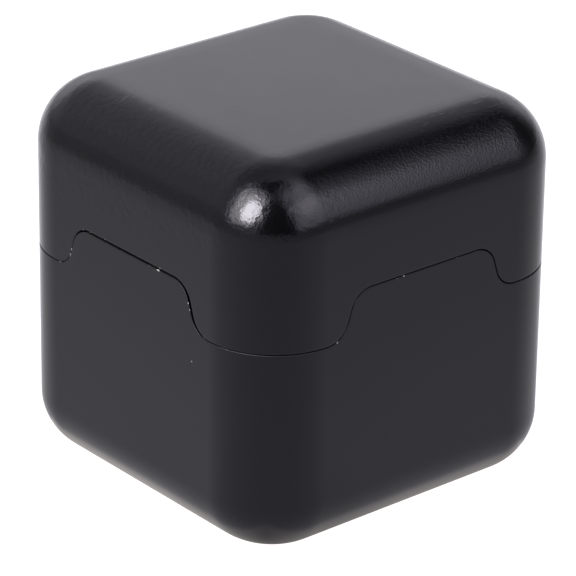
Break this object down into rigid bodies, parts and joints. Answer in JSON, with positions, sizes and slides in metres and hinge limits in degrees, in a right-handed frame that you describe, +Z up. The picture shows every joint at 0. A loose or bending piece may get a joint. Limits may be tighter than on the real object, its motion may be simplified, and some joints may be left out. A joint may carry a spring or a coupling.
{
  "type": "fidget cube",
  "caption": "Black metal desk cube in two halves that meet on a wavy seam; the upper half lifts on an air-cushioned piston and snaps shut on corner magnets.",
  "frame": {"origin": "middle of the flat underside, on the axis of the piston", "axes": "+Z up along the piston's axis, +X and +Y out through two neighbouring side faces"},
  "size_m": [0.038, 0.038, 0.038],
  "materials": {
    "black_anodised": "satin black anodised",
    "ground_steel": "fine ground",
    "silicone": "matte",
    "ptfe": "bronze-filled guide band, matte",
    "screw_steel": "turned stainless",
    "nickel": "bright nickel plating"
  },
  "bodies": {
    "lower_half_assembly": {"lower_half": "black_anodised", "cylinder_liner": "ground_steel", "landing_ring": "silicone", "liner_screw_1": "screw_steel", "liner_screw_2": "screw_steel", "liner_screw_3": "screw_steel", "liner_screw_4": "screw_steel", "lower_magnet_1": "nickel", "lower_magnet_2": "nickel", "lower_magnet_3": "nickel", "lower_magnet_4": "nickel"},
    "guide_bands": {"guide_band_lower": "ptfe", "guide_band_upper": "ptfe"},
    "upper_half_assembly": {"upper_half": "black_anodised", "piston": "ground_steel", "piston_screw_1": "screw_steel", "piston_screw_2": "screw_steel", "piston_screw_3": "screw_steel", "piston_screw_4": "screw_steel", "upper_magnet_1": "nickel", "upper_magnet_2": "nickel", "upper_magnet_3": "nickel", "upper_magnet_4": "nickel"}
  },
  "joints": [
    {"name": "lift", "type": "slide", "parent": "lower_half_assembly", "child": "guide_bands", "axis": [0, 0, 1], "range_m": [0, 0.013]},
    {"name": "turn", "type": "hinge", "parent": "guide_bands", "child": "upper_half_assembly", "pos_m": [0, 0, 0], "axis": [0, 0, 1], "range_deg": [0, 10]}
  ],
  "couplings": [
    {"joint": "turn", "follows": "lift", "rad_per_m": 13.42}
  ]
}
